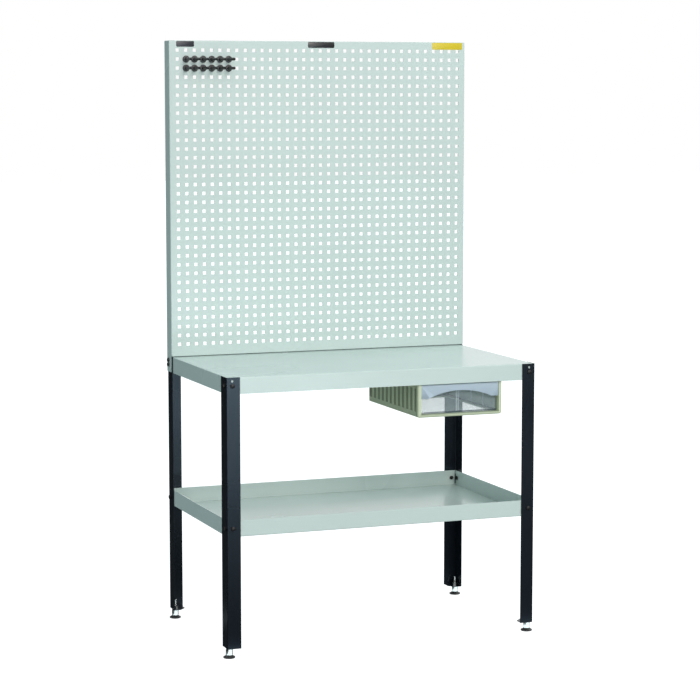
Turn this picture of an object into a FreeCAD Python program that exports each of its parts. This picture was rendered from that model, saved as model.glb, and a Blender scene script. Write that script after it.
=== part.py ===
import FreeCAD, Part
import math
import os
import re
import Sketcher

# Steel workbench with a perforated back panel, a lower shelf and a clear parts drawer.
# Millimetres. +X is the bench's right, +Y its back, +Z up. The origin is on the floor
# under the middle of the bench.

doc = FreeCAD.newDocument("PegboardWorkbench")
sheet = doc.addObject("Spreadsheet::Sheet", "Sizes")

sizes = {
    # bench outline, over the legs
    "benchWidth": 895,
    "benchDepth": 540,
    "tableHeight": 756,
    # folded sheet trays
    "sheetThickness": 1.2,
    "apronDepth": 45,
    "hemHeight": 10,
    "cornerSlit": 3.5,
    "shelfHeight": 374,
    "shelfDepth": 44.5,
    # angle legs
    "legThickness": 2,
    "legFrontFlange": 38,
    "legSideFlange": 46,
    "legBottom": 27,
    "holeGauge": 17,
    "upperHoleDrop": 10,
    "boltDrop": 23,
    "shelfBoltDrop": 22,
    # bolts and nuts of the frame
    "boltDiameter": 6,
    "boltClearance": 0.3,
    "boltAcross": 10,
    "boltHeadHeight": 4,
    "washerDiameter": 12,
    "washerThickness": 1,
    "frameNutHeight": 5,
    "threadClearance": 0.05,
    "boltEnd": 2,
    # stiffening channels
    "channelHeight": 20,
    "channelWidth": 30,
    "channelFoot": 12,
    "channelEndGap": 6,
    "shelfChannelEndGap": 45,
    "frontChannelSetback": 180,
    "rearChannelSetback": 120,
    "shelfChannelHeight": 15,
    # perforated panel
    "panelHeight": 886,
    "panelDepth": 44,
    "panelGap": 1.5,
    "earClearance": 0.3,
    "earDrop": 43,
    "earWidth": 38,
    "pegPitch": 25,
    "pegHole": 9.5,
    "firstRowHeight": 34.5,
    "pegMargin": 20,
    # plain plates along the panel's top margin
    "plateThickness": 0.4,
    "plateTopMargin": 1.4,
    "leftPlateWidth": 52,
    "leftPlateHeight": 16,
    "leftPlateInset": 47,
    "middlePlateWidth": 80,
    "middlePlateHeight": 17,
    "middlePlateShift": 2.5,
    "rightPlateWidth": 95,
    "rightPlateHeight": 20,
    "rightPlateInset": 56,
    # hooks on the panel
    "hookDiscDiameter": 19.5,
    "hookDiscThickness": 4,
    "hookPegDiameter": 8.5,
    "hookPegLength": 52,
    "hookEdgeRadius": 1.2,
    "plugClearance": 0.4,
    "plugBarb": 0.6,
    "plugBarbLength": 2.4,
    "plugBarbGap": 0.3,
    "hookColumns": 6,
    "hookRows": 2,
    # levelling feet
    "footInsetSide": 10,
    "footInsetFront": 19,
    "gussetThickness": 2,
    "gussetWidth": 34,
    "gussetDepth": 43,
    "gussetChamfer": 18,
    "gussetCorner": 1.5,
    "spindleDiameter": 8,
    "spindleLength": 51.5,
    "spindlePlay": 0.5,
    "lockNutAcross": 13,
    "lockNutHeight": 6.5,
    "spindleHexAcross": 17,
    "spindleSocketDepth": 5.8,
    "footStopGap": 0.3,
    "collarHeight": 2,
    "collarDiameter": 14,
    "footPadDiameter": 32,
    "footPadRim": 5,
    "footPadHeight": 8,
    "footPadHub": 18,
    "footPadShoulder": 26,
    # drawer case and its hangers
    "hangerHeight": 34.8,
    "hangerThickness": 2,
    "hangerFlange": 25,
    "hangerEndInset": 10,
    "hangerFrontSetback": 30,
    "hangerRearSetback": 60,
    "caseInset": 220.5,
    "caseWidth": 250,
    "caseHeight": 100.5,
    "caseLength": 368,
    "caseSetback": 8,
    "caseWall": 2.5,
    "frameThickness": 15,
    "frameSideLip": 9.3,
    "frameBottomLip": 7,
    "frameTopLip": 9.5,
    "frameRadius": 6,
    "ribPitch": 30,
    "ribWidth": 15,
    "ribProud": 1.5,
    "ribTopMargin": 22,
    "ribBottomMargin": 15,
    "ledgeWidth": 14,
    "ledgeThickness": 3,
    "screwDiameter": 4,
    "screwHeadDiameter": 8,
    "screwHeadHeight": 2.8,
    "screwLength": 8,
    "screwInset": 40,
    # clear drawer
    "drawerClearance": 0.6,
    "drawerSeatGap": 0.3,
    "drawerLength": 322,
    "drawerRecess": 19,
    "drawerWall": 2,
    "drawerFloor": 2.2,
    "drawerRadius": 3,
    "hoodReach": 18,
    "hoodSlope": 1,
    "hoodHeight": 39,
    "hoodEndWidth": 21,
    "hoodArch": 20,
    "hoodWall": 2,
    "slotRibWidth": 2,
    "slotRibDepth": 1.5,
    "slotGap": 3.4,
    "slotPitch": 80,
}

for row, (alias, number) in enumerate(sizes.items(), start=1):
    sheet.set("A%d" % row, alias)
    sheet.set("B%d" % row, str(number))
    sheet.setAlias("B%d" % row, alias)
doc.recompute()

subParts = []


def tied(text):
    """Expression text with each alias pointed at the sheet."""
    return re.sub(r"[A-Za-z]+", lambda m: "Sizes." + m[0] if m[0] in sizes else m[0], text)


def worth(text):
    """The number that an expression of the sheet's aliases comes to."""
    return float(sheet.evalExpression(text))


def keep(part, name):
    part.Label = name
    subParts.append(part)
    return part


def newBody(name):
    return keep(doc.addObject("PartDesign::Body", name), name)


def attach(sketch, body, role, height):
    plane = [item for item in body.Origin.OriginFeatures if item.Role == role][0]
    sketch.AttachmentSupport = [(plane, "")]
    sketch.MapMode = "FlatFace"
    sketch.setExpression("AttachmentOffset.Base.z", tied(height))


def pin(sketch, axis, geometry, point, text):
    """Ties one coordinate of a sketch point to an expression."""
    rule = Sketcher.Constraint(axis, -1, 1, geometry, point, worth(text))
    place = sketch.addConstraint(rule)
    sketch.setExpression("Constraints[%d]" % place, tied(text))


def outline(body, role, height, *loops):
    """Closed straight-sided loops, each a list of (x, y) expression pairs."""
    sketch = body.newObject("Sketcher::SketchObject", body.Name + "Outline")
    attach(sketch, body, role, height)
    for loop in loops:
        corners = [FreeCAD.Vector(worth(x), worth(y), 0) for x, y in loop]
        first = sketch.GeometryCount
        count = len(loop)
        for step in range(count):
            sketch.addGeometry(Part.LineSegment(corners[step], corners[(step + 1) % count]))
        for step, (x, y) in enumerate(loop):
            after = first + (step + 1) % count
            sketch.addConstraint(Sketcher.Constraint("Coincident", first + step, 2, after, 1))
            pin(sketch, "DistanceX", first + step, 1, x)
            pin(sketch, "DistanceY", first + step, 1, y)
    return sketch


def circles(body, role, height, diameter, centres):
    sketch = body.newObject("Sketcher::SketchObject", body.Name + "Circles")
    attach(sketch, body, role, height)
    upright = FreeCAD.Vector(0, 0, 1)
    for x, y in centres:
        centre = FreeCAD.Vector(worth(x), worth(y), 0)
        ring = sketch.addGeometry(Part.Circle(centre, upright, worth(diameter) / 2))
        rule = sketch.addConstraint(Sketcher.Constraint("Diameter", ring, worth(diameter)))
        sketch.setExpression("Constraints[%d]" % rule, tied(diameter))
        pin(sketch, "DistanceX", ring, 3, x)
        pin(sketch, "DistanceY", ring, 3, y)
    return sketch


def rectangle(left, right, low, high):
    return [(left, low), (right, low), (right, high), (left, high)]


def grow(kind, body, sketch, length, backwards=False, bothWays=False):
    feature = body.newObject("PartDesign::" + kind, body.Name + kind)
    feature.Profile = sketch
    feature.setExpression("Length", tied(length))
    feature.Reversed = backwards
    if bothWays:
        feature.SideType = "Symmetric"
    return feature


def pad(body, sketch, length, **way):
    return grow("Pad", body, sketch, length, **way)


def pocket(body, sketch, length, **way):
    """A pocket that has to remove material."""
    doc.recompute()
    before = body.Shape.Volume
    feature = grow("Pocket", body, sketch, length, **way)
    doc.recompute()
    if body.Shape.Volume >= before:
        raise ValueError("A pocket of %s cuts nothing" % body.Name)
    return feature


def fillet(body, radius, wanted):
    """Rounds the edges of the body so far that the wanted test picks."""
    doc.recompute()
    base = body.Tip
    names = ["Edge%d" % (i + 1) for i, edge in enumerate(base.Shape.Edges) if wanted(edge)]
    feature = body.newObject("PartDesign::Fillet", body.Name + "Fillet")
    feature.Base = (base, names)
    feature.setExpression("Radius", tied(radius))
    return feature


def along(edge, axis):
    """True for a straight edge that runs along X, Y or Z (0, 1 or 2)."""
    ends = [vertex.Point for vertex in edge.Vertexes]
    if len(ends) < 2 or edge.Curve.TypeId != "Part::GeomLine":
        return False
    run = ends[1] - ends[0]
    return abs(run[axis]) > 0.999 * run.Length


def near(edge, axis, place):
    return abs(edge.CenterOfMass[axis] - place) < 0.01


def placed(body, x, y, z):
    """Stands a body, modelled at the origin, at a place given by expressions."""
    body.setExpression("Placement.Base.x", tied(x))
    body.setExpression("Placement.Base.y", tied(y))
    body.setExpression("Placement.Base.z", tied(z))


def hexagon(across):
    """Corners of a hexagon about the sketch's origin, flats facing along Y."""
    corner = "(%s) / sqrt(3)" % across
    half = "(%s) / 2" % across
    right = [(corner, "0"), (corner + " / 2", half)]
    left = [("-" + corner + " / 2", half), ("-" + corner, "0")]
    return right + left + [("-" + corner + " / 2", "-" + half), (corner + " / 2", "-" + half)]


boltHole = "(boltDiameter + 2 * boltClearance)"
boltSide = "(benchWidth / 2 - holeGauge)"
boltFront = "(benchDepth / 2 - holeGauge)"
tableBoltHeight = "(tableHeight - boltDrop)"
upperHoleHeight = "(tableHeight - upperHoleDrop)"
shelfBoltHeight = "(shelfHeight - shelfBoltDrop)"


# Table top and shelf: trays folded from sheet, with doubled hems and open corners

trayWidth = "(benchWidth / 2 - legThickness)"
trayDepth = "(benchDepth / 2 - legThickness)"


def centred(halfWidth, halfDepth):
    return rectangle("-" + halfWidth, halfWidth, "-" + halfDepth, halfDepth)


def foldedTray(name, face, depth, wallsUp):
    """A tray whose flat sheet lies at the height face, its walls running up or down."""
    sign = "+" if wallsUp else "-"
    body = newBody(name)
    pad(body, outline(body, "XY_Plane", face, centred(trayWidth, trayDepth)), depth,
        backwards=not wallsUp)
    level = worth(face)
    fillet(body, "2 * sheetThickness", lambda edge: along(edge, 2) or near(edge, 2, level))
    wall = "(%s - sheetThickness)"
    inside = centred(wall % trayWidth, wall % trayDepth)
    pocket(body, outline(body, "XY_Plane", face + sign + "sheetThickness", inside),
           depth + " - sheetThickness - hemHeight", backwards=wallsUp)
    wall = "(%s - 2 * sheetThickness)"
    inside = centred(wall % trayWidth, wall % trayDepth)
    pocket(body, outline(body, "XY_Plane", "%s %s (%s - hemHeight)" % (face, sign, depth), inside),
           "hemHeight", backwards=wallsUp)
    corners = []
    for side in ("-", ""):
        for end in ("-", ""):
            corners.append(rectangle(
                side + "(%s - cornerSlit)" % trayWidth, side + "(%s + cornerSlit)" % trayWidth,
                end + "(%s - cornerSlit)" % trayDepth, end + "(%s + cornerSlit)" % trayDepth))
    start = "%s %s 3 * sheetThickness" % (face, sign)
    pocket(body, outline(body, "XY_Plane", start, *corners), depth, backwards=wallsUp)
    return body


def acrossHoles(body, role, centres):
    pocket(body, circles(body, role, "0", boltHole, centres), "2 * benchWidth", bothWays=True)


tabletop = foldedTray("tabletop", "tableHeight", "apronDepth", wallsUp=False)
acrossHoles(tabletop, "XZ_Plane", [("-" + boltSide, tableBoltHeight), (boltSide, tableBoltHeight)])
acrossHoles(tabletop, "YZ_Plane", [("-" + boltFront, tableBoltHeight), (boltFront, tableBoltHeight),
                                   (boltFront, upperHoleHeight)])

shelf = foldedTray("shelf_tray", "(shelfHeight - shelfDepth)", "shelfDepth", wallsUp=True)
acrossHoles(shelf, "XZ_Plane", [("-" + boltSide, shelfBoltHeight), (boltSide, shelfBoltHeight)])
acrossHoles(shelf, "YZ_Plane", [("-" + boltFront, shelfBoltHeight), (boltFront, shelfBoltHeight)])


# Stiffening channels: hat sections that run the bench's width under each flat sheet

def channel(name, middle, top, height, endGap):
    """A hat section hung under a sheet's lower face at the height top."""
    wide = "channelWidth / 2"
    foot = "channelFoot"
    gauge = "sheetThickness"
    half = [
        (wide + " + " + foot, top),
        (wide + " + " + foot, "%s - %s" % (top, gauge)),
        (wide, "%s - %s" % (top, gauge)),
        (wide, "%s - %s" % (top, height)),
    ]
    inner = [
        ("-%s + %s" % (wide, gauge), "%s - %s + %s" % (top, height, gauge)),
        ("-%s + %s" % (wide, gauge), top),
    ]
    right = [("%s + (%s)" % (middle, y), z) for y, z in half]
    left = [("%s - (%s)" % (middle, y), z) for y, z in reversed(half)]
    leftInner = [("%s + (%s)" % (middle, y), z) for y, z in reversed(inner)]
    rightInner = [("%s - (%s)" % (middle, y), z) for y, z in inner]
    body = newBody(name)
    profile = outline(body, "YZ_Plane", "0", right + left + leftInner + rightInner)
    length = "2 * (%s - 2 * sheetThickness - %s)" % (trayWidth, endGap)
    pad(body, profile, length, bothWays=True)
    return body


underTable = "(tableHeight - sheetThickness)"
channel("tabletop_channel_front", "(frontChannelSetback - benchDepth / 2)", underTable,
        "channelHeight", "channelEndGap")
channel("tabletop_channel_rear", "(benchDepth / 2 - rearChannelSetback)", underTable,
        "channelHeight", "channelEndGap")
channel("shelf_channel", "0", "(shelfHeight - shelfDepth)", "shelfChannelHeight",
        "shelfChannelEndGap")


# Legs: angles folded from sheet, open to the inside of the bench

corners = {
    "front_left": ("-1", "-1"),
    "front_right": ("1", "-1"),
    "rear_left": ("-1", "1"),
    "rear_right": ("1", "1"),
}


def leg(name, side, end):
    body = newBody(name)

    def corner(inX, inY):
        return ("%s * (benchWidth / 2 - %s)" % (side, inX), "%s * (benchDepth / 2 - %s)" % (end, inY))

    angle = [corner("0", "0"), corner("legFrontFlange", "0"),
             corner("legFrontFlange", "legThickness"), corner("legThickness", "legThickness"),
             corner("legThickness", "legSideFlange"), corner("0", "legSideFlange")]
    pad(body, outline(body, "XY_Plane", "legBottom", angle), "tableHeight - legBottom")
    wall = worth("legThickness")
    outerX = worth(corner("0", "0")[0])
    outerY = worth(corner("0", "0")[1])
    fillet(body, "1.5 * legThickness",
           lambda edge: along(edge, 2) and near(edge, 0, outerX) and near(edge, 1, outerY))
    innerX = outerX - float(side) * wall
    innerY = outerY - float(end) * wall
    fillet(body, "legThickness / 2",
           lambda edge: along(edge, 2) and near(edge, 0, innerX) and near(edge, 1, innerY))
    heights = [upperHoleHeight, tableBoltHeight, shelfBoltHeight]
    acrossHoles(body, "XZ_Plane", [("%s * %s" % (side, boltSide), z) for z in heights])
    acrossHoles(body, "YZ_Plane", [("%s * %s" % (end, boltFront), z) for z in heights])


for where, (side, end) in corners.items():
    leg("leg_" + where, side, end)


# Levelling feet: gusset in the leg's end, lock nut, screwed spindle and swivelling pad

footSide = "(benchWidth / 2 - footInsetSide)"
footFront = "(benchDepth / 2 - footInsetFront)"
hexBottom = "(footPadHeight + footStopGap)"
collarTop = "(legBottom - footStopGap)"


def gusset(name, side, end):
    body = newBody(name)

    def corner(inX, inY):
        return ("%s * (benchWidth / 2 - legThickness - %s)" % (side, inX),
                "%s * (benchDepth / 2 - legThickness - %s)" % (end, inY))

    plate = [corner("gussetCorner", "0"), corner("gussetWidth", "0"),
             corner("gussetWidth", "(gussetDepth - gussetChamfer)"),
             corner("(gussetWidth - gussetChamfer)", "gussetDepth"),
             corner("0", "gussetDepth"), corner("0", "gussetCorner")]
    pad(body, outline(body, "XY_Plane", "legBottom", plate), "gussetThickness")
    centre = ("%s * %s" % (side, footSide), "%s * %s" % (end, footFront))
    hole = circles(body, "XY_Plane", "legBottom", "spindleDiameter + 2 * spindlePlay", [centre])
    pocket(body, hole, "2 * gussetThickness", bothWays=True)


def spindle(name, side, end):
    """Threaded rod with its hexagon, on which the pad swivels."""
    body = newBody(name)
    bottom = "footPadHeight - spindleSocketDepth"
    pad(body, circles(body, "XY_Plane", bottom, "spindleDiameter", [("0", "0")]), "spindleLength")
    hexHeight = "%s - collarHeight - %s" % (collarTop, hexBottom)
    pad(body, outline(body, "XY_Plane", hexBottom, hexagon("spindleHexAcross")), hexHeight)
    collar = circles(body, "XY_Plane", collarTop + " - collarHeight", "collarDiameter", [("0", "0")])
    pad(body, collar, "collarHeight")
    placed(body, "%s * %s" % (side, footSide), "%s * %s" % (end, footFront), "0")


def footPad(name, side, end):
    body = newBody(name)
    bore = "spindleDiameter / 2 + threadClearance"
    floor = "footPadHeight - spindleSocketDepth - footStopGap"
    profile = [
        ("0", "0"),
        ("footPadDiameter / 2", "0"),
        ("footPadDiameter / 2", "footPadRim - 1"),
        ("footPadShoulder / 2", "footPadRim"),
        ("footPadHub / 2", "footPadHeight"),
        (bore, "footPadHeight"),
        (bore, floor),
        ("0", floor),
    ]
    sketch = outline(body, "XZ_Plane", "0", profile)
    turned = body.newObject("PartDesign::Revolution", body.Name + "Revolution")
    turned.Profile = sketch
    turned.ReferenceAxis = (sketch, ["V_Axis"])
    turned.Angle = 360
    placed(body, "%s * %s" % (side, footSide), "%s * %s" % (end, footFront), "0")


for where, (side, end) in corners.items():
    gusset("foot_gusset_" + where, side, end)
    spindle("foot_spindle_" + where, side, end)
    footPad("foot_pad_" + where, side, end)


# Fasteners: each group is one node of separate solids, copied from one shape

def hexPrism(across, height):
    reach = across / math.sqrt(3)
    turns = [math.radians(60 * step) for step in range(7)]
    points = [FreeCAD.Vector(reach * math.cos(a), reach * math.sin(a), 0) for a in turns]
    return Part.Face(Part.makePolygon(points)).extrude(FreeCAD.Vector(0, 0, height))


def frameBolt(grip):
    """A hexagon bolt with its washer, head outside z = 0, shank along -Z."""
    washer = worth("washerThickness")
    head = hexPrism(worth("boltAcross"), worth("boltHeadHeight"))
    head.translate(FreeCAD.Vector(0, 0, washer))
    length = grip + worth("frameNutHeight") + worth("boltEnd")
    radius = worth("boltDiameter") / 2
    shank = Part.makeCylinder(radius, length + washer, FreeCAD.Vector(0, 0, -length))
    return Part.makeCylinder(worth("washerDiameter") / 2, washer).fuse([head, shank])


def drilledNut(across, height, diameter):
    """A nut that stands on z = 0."""
    radius = diameter / 2 + worth("threadClearance")
    return hexPrism(across, height).cut(Part.makeCylinder(radius, height))


def group(name, shape, places):
    """Copies of a shape, each with its Z axis turned to a direction at a point."""
    upright = FreeCAD.Vector(0, 0, 1)
    copies = []
    for point, direction in places:
        copy = shape.copy()
        copy.Placement = FreeCAD.Placement(point, FreeCAD.Rotation(upright, direction))
        copies.append(copy)
    feature = keep(doc.addObject("Part::Feature", name), name)
    feature.Shape = Part.makeCompound(copies)
    return feature


def boltPlaces(faceX, faceY, x, y, z, faces):
    """Where bolts enter the front, rear and side faces at the bench's corners."""
    places = []
    for side in (-1, 1):
        for end in (-1, 1):
            if "flat" in faces:
                places.append((FreeCAD.Vector(side * x, end * faceY, z), FreeCAD.Vector(0, end, 0)))
            if "sideFront" in faces and end < 0 or "sideRear" in faces and end > 0:
                places.append((FreeCAD.Vector(side * faceX, end * y, z), FreeCAD.Vector(side, 0, 0)))
    return places


def boltAndNut(name, grip, places):
    """Bolts at the places, and their nuts at the far end of the grip."""
    group(name + "_bolts", frameBolt(grip), places)
    nut = drilledNut(worth("boltAcross"), worth("frameNutHeight"), worth("boltDiameter"))
    group(name + "_nuts", nut, [(point - way * grip, -way) for point, way in places])


halfWidth = worth("benchWidth / 2")
halfDepth = worth("benchDepth / 2")
boltX = worth(boltSide)
boltY = worth(boltFront)
legGrip = worth("legThickness + sheetThickness")
earGrip = legGrip + worth("earClearance + sheetThickness")
earFace = halfWidth + worth("earClearance + sheetThickness")

boltAndNut("table", legGrip, boltPlaces(halfWidth, halfDepth, boltX, boltY,
                                        worth(tableBoltHeight), ("flat", "sideFront")))
boltAndNut("shelf", legGrip, boltPlaces(halfWidth, halfDepth, boltX, boltY,
                                        worth(shelfBoltHeight), ("flat", "sideFront", "sideRear")))
earPlaces = []
for height in (tableBoltHeight, upperHoleHeight):
    earPlaces += boltPlaces(earFace, halfDepth, boltX, boltY, worth(height), ("sideRear",))
boltAndNut("panel", earGrip, earPlaces)

lockNut = drilledNut(worth("lockNutAcross"), worth("lockNutHeight"), worth("spindleDiameter"))
lockNut.rotate(FreeCAD.Vector(), FreeCAD.Vector(0, 0, 1), 30)
upwards = FreeCAD.Vector(0, 0, 1)
nutLevel = worth("legBottom + gussetThickness")
group("foot_lock_nuts", lockNut,
      [(FreeCAD.Vector(side * worth(footSide), end * worth(footFront), nutLevel), upwards)
       for side in (-1, 1) for end in (-1, 1)])


# Perforated panel: a shallow tray open to the back, with ears bolted outside the rear legs

panelFront = "(benchDepth / 2 - panelDepth)"
panelBottom = "(tableHeight + panelGap)"
panelTop = "(tableHeight + panelGap + panelHeight)"
panelSide = "(benchWidth / 2 + earClearance + sheetThickness)"
pitch = worth("pegPitch")
columns = int(worth("2 * (%s - pegMargin) / pegPitch" % panelSide)) + 1
rows = int(worth("(panelHeight - firstRowHeight - pegMargin) / pegPitch")) + 1
firstColumn = -(columns - 1) * pitch / 2
firstRow = worth(panelBottom + " + firstRowHeight")


def pegRow(left, right):
    """One row of the sheet, a pitch high, with its square holes."""
    half = worth("pegHole / 2")
    low = firstRow - pitch / 2
    face = worth(panelFront)

    def loop(x0, x1, z0, z1):
        ring = [(x0, z0), (x1, z0), (x1, z1), (x0, z1), (x0, z0)]
        return [FreeCAD.Vector(x, face, z) for x, z in ring]

    rim = Part.makePolygon(loop(left, right, low, low + pitch))
    holes = []
    for column in range(columns):
        x = firstColumn + column * pitch
        ring = loop(x - half, x + half, firstRow - half, firstRow + half)
        holes.append(Part.makePolygon(ring[::-1]))
    return Part.Face([rim] + holes).extrude(FreeCAD.Vector(0, worth("sheetThickness"), 0))


def perforatedPanel():
    gauge = worth("sheetThickness")
    side = worth(panelSide)
    front = worth(panelFront)
    depth = worth("panelDepth")
    bottom = worth(panelBottom)
    height = worth("panelHeight")
    tray = Part.makeBox(2 * side, depth, height, FreeCAD.Vector(-side, front, bottom))
    bent = [edge for edge in tray.Edges if near(edge, 1, front) or along(edge, 1)]
    tray = tray.makeFillet(2 * gauge, bent)
    hollow = FreeCAD.Vector(gauge - side, front + gauge, bottom + gauge)
    tray = tray.cut(Part.makeBox(2 * (side - gauge), depth, height - 2 * gauge, hollow))
    left = 2 * gauge - side
    window = FreeCAD.Vector(left, front, firstRow - pitch / 2)
    tray = tray.cut(Part.makeBox(-2 * left, gauge, rows * pitch, window))
    earTop = bottom + 4 * gauge
    earBottom = worth("tableHeight - earDrop")
    earSize = (gauge, worth("earWidth"), earTop - earBottom)
    earFront = worth("benchDepth / 2 - earWidth")
    for x in (-side, side - gauge):
        ear = Part.makeBox(*earSize, FreeCAD.Vector(x, earFront, earBottom))
        tray = tray.fuse(ear)
    for height in (tableBoltHeight, upperHoleHeight):
        start = FreeCAD.Vector(-side, boltY, worth(height))
        bore = Part.makeCylinder(worth(boltHole) / 2, 2 * side, start, FreeCAD.Vector(1, 0, 0))
        tray = tray.cut(bore)
    tray = tray.removeSplitter()
    row = pegRow(left, -left)
    strips = []
    for step in range(rows):
        strip = row.copy()
        strip.translate(FreeCAD.Vector(0, 0, step * pitch))
        strips.append(strip)
    return tray.fuse(strips).Solids[0]


panel = keep(doc.addObject("Part::Feature", "pegboard_panel"), "pegboard_panel")
panel.Shape = perforatedPanel()


# Plain plates on the panel's top margin

def marginPlate(name, place, width, height):
    body = newBody(name)
    top = panelTop + " - plateTopMargin"
    sketch = outline(body, "XZ_Plane", "-" + panelFront,
                     rectangle("%s - %s / 2" % (place, width), "%s + %s / 2" % (place, width),
                               "%s - %s" % (top, height), top))
    pad(body, sketch, "plateThickness")
    fillet(body, height + " / 8", lambda edge: along(edge, 1))


marginPlate("margin_plate_left", "(leftPlateInset - %s)" % panelSide,
            "leftPlateWidth", "leftPlateHeight")
marginPlate("margin_plate_middle", "middlePlateShift", "middlePlateWidth", "middlePlateHeight")
marginPlate("margin_plate_right", "(%s - rightPlateInset)" % panelSide,
            "rightPlateWidth", "rightPlateHeight")


# Hooks: a disc against the panel, a straight peg, and a square plug through a hole

def pegHook(name, column, row):
    body = newBody(name)
    disc = circles(body, "XZ_Plane", "0", "hookDiscDiameter", [("0", "0")])
    pad(body, disc, "hookDiscThickness")
    face = -worth("hookDiscThickness")
    fillet(body, "hookEdgeRadius", lambda edge: near(edge, 1, face))
    pad(body, circles(body, "XZ_Plane", "0", "hookPegDiameter", [("0", "0")]),
        "hookDiscThickness + hookPegLength")
    tip = -worth("hookDiscThickness + hookPegLength")
    fillet(body, "hookPegDiameter / 2 - 0.05", lambda edge: near(edge, 1, tip))
    half = "(pegHole / 2 - plugClearance)"
    stem = "sheetThickness + plugBarbGap + plugBarbLength"
    pad(body, outline(body, "XZ_Plane", "0", centred(half, half)), stem, backwards=True)
    half = "(pegHole / 2 + plugBarb)"
    slim = "(pegHole / 2 - plugClearance)"
    barb = outline(body, "XZ_Plane", "-(sheetThickness + plugBarbGap)", centred(half, slim))
    pad(body, barb, "plugBarbLength", backwards=True)
    x = firstColumn + column * pitch
    z = firstRow + (rows - 1 - row) * pitch
    placed(body, str(x), panelFront, str(z))


hookColumns = int(worth("hookColumns"))
hookRows = int(worth("hookRows"))
for row in range(hookRows):
    for column in range(hookColumns):
        number = row * hookColumns + column + 1
        pegHook("peg_hook_%02d" % number, column + 1, row + 1)


# Drawer case: ribbed walls, a front frame, and ledges along an open bottom

caseMiddle = "(benchWidth / 2 - caseInset)"
caseTop = "(tableHeight - sheetThickness - hangerHeight)"
caseBottom = "(%s - caseHeight)" % caseTop
caseFront = "(caseSetback - benchDepth / 2)"
caseRear = "(%s + caseLength)" % caseFront
openingBottom = "(%s + frameBottomLip)" % caseBottom
openingTop = "(%s - frameTopLip)" % caseTop


def aboutCase(half):
    """Left and right places, half a width each side of the case's middle."""
    return "%s - (%s)" % (caseMiddle, half), "%s + (%s)" % (caseMiddle, half)


def drawerCase():
    body = newBody("drawer_case")
    shell = "(caseWidth / 2 - ribProud)"
    inner = "(caseWidth / 2 - ribProud - caseWall)"
    rear = "(%s - caseWall)" % caseRear
    behindFrame = "(%s + frameThickness)" % caseFront
    block = rectangle(*aboutCase(shell), behindFrame, caseRear)
    pad(body, outline(body, "XY_Plane", caseBottom, block), "caseHeight")
    frame = rectangle(*aboutCase("caseWidth / 2"), caseBottom, caseTop)
    pad(body, outline(body, "XZ_Plane", "-" + behindFrame, frame), "frameThickness")
    face = worth(caseFront)
    corner = worth(behindFrame)
    fillet(body, "frameRadius",
           lambda edge: near(edge, 1, face) or along(edge, 1) and edge.CenterOfMass.y < corner)
    mirrored, side = zip(aboutCase("caseWidth / 2"), aboutCase(shell))
    side = side[::-1]
    rib = ("%s + ribPitch - ribWidth" % behindFrame, "%s + ribPitch" % behindFrame)
    ribs = outline(body, "XY_Plane", caseBottom + " + ribBottomMargin",
                   rectangle(*side, *rib), rectangle(*mirrored, *rib))
    firstRib = pad(body, ribs, "caseHeight - ribBottomMargin - ribTopMargin")
    doc.recompute()
    pattern = body.newObject("PartDesign::LinearPattern", "CaseRibs")
    pattern.Originals = [firstRib]
    pattern.Direction = ([item for item in body.Origin.OriginFeatures if item.Role == "Y_Axis"][0], [""])
    pattern.Mode = "Spacing"
    pattern.setExpression("Offset", tied("ribPitch"))
    pattern.setExpression("Occurrences", tied("floor((caseLength - frameThickness) / ribPitch)"))
    body.Tip = pattern
    cavity = rectangle(*aboutCase(inner), openingBottom, caseTop + " - caseWall")
    pocket(body, outline(body, "XZ_Plane", "-" + behindFrame, cavity),
           "caseLength - frameThickness - caseWall")
    mouth = rectangle(*aboutCase("caseWidth / 2 - frameSideLip"), openingBottom, openingTop)
    pocket(body, outline(body, "XZ_Plane", "-" + caseFront, mouth), "2 * frameThickness")
    below = rectangle(*aboutCase(inner), behindFrame, rear)
    pocket(body, outline(body, "XY_Plane", caseBottom, below), "frameBottomLip - ledgeThickness",
           backwards=True)
    slot = rectangle(*aboutCase(inner + " - ledgeWidth"), behindFrame + " + ledgeWidth",
                     rear + " - ledgeWidth")
    pocket(body, outline(body, "XY_Plane", caseBottom, slot), "2 * frameBottomLip", backwards=True)
    pocket(body, circles(body, "XY_Plane", caseTop, "screwDiameter", caseScrews), "2 * caseWall")
    return body


hangerFrontPlace = "(%s + hangerFrontSetback)" % caseFront
hangerRearPlace = "(%s - hangerRearSetback)" % caseRear
screwSide = "(caseWidth / 2 - screwInset)"
caseScrews = [(spot, place + " + hangerFlange / 2")
              for spot in aboutCase(screwSide) for place in (hangerFrontPlace, hangerRearPlace)]
drawerCase()


def hanger(name, place):
    """A channel that carries the case under the table top."""
    body = newBody(name)
    back = place + " + hangerFlange"
    inner = place + " + hangerThickness"
    lower = caseTop + " + hangerThickness"
    upper = underTable + " - hangerThickness"
    profile = [(place, caseTop), (back, caseTop), (back, lower), (inner, lower),
               (inner, upper), (back, upper), (back, underTable), (place, underTable)]
    sketch = outline(body, "YZ_Plane", caseMiddle, profile)
    pad(body, sketch, "caseWidth - 2 * hangerEndInset", bothWays=True)
    holes = [spot for spot in caseScrews if spot[1].startswith(place)]
    pocket(body, circles(body, "XY_Plane", lower, "screwDiameter", holes), "hangerThickness")


hanger("case_hanger_front", hangerFrontPlace)
hanger("case_hanger_rear", hangerRearPlace)

headRadius = worth("screwHeadDiameter / 2")
headHeight = worth("screwHeadHeight")
screw = Part.makeCone(headRadius, 0.7 * headRadius, headHeight)
screwLength = worth("screwLength")
shankRadius = worth("screwDiameter / 2 - threadClearance")
screw = screw.fuse(Part.makeCylinder(shankRadius, screwLength, FreeCAD.Vector(0, 0, -screwLength)))
screwLevel = worth(caseTop + " + hangerThickness")
group("case_screws", screw,
      [(FreeCAD.Vector(worth(x), worth(y), screwLevel), upwards) for x, y in caseScrews])


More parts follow.
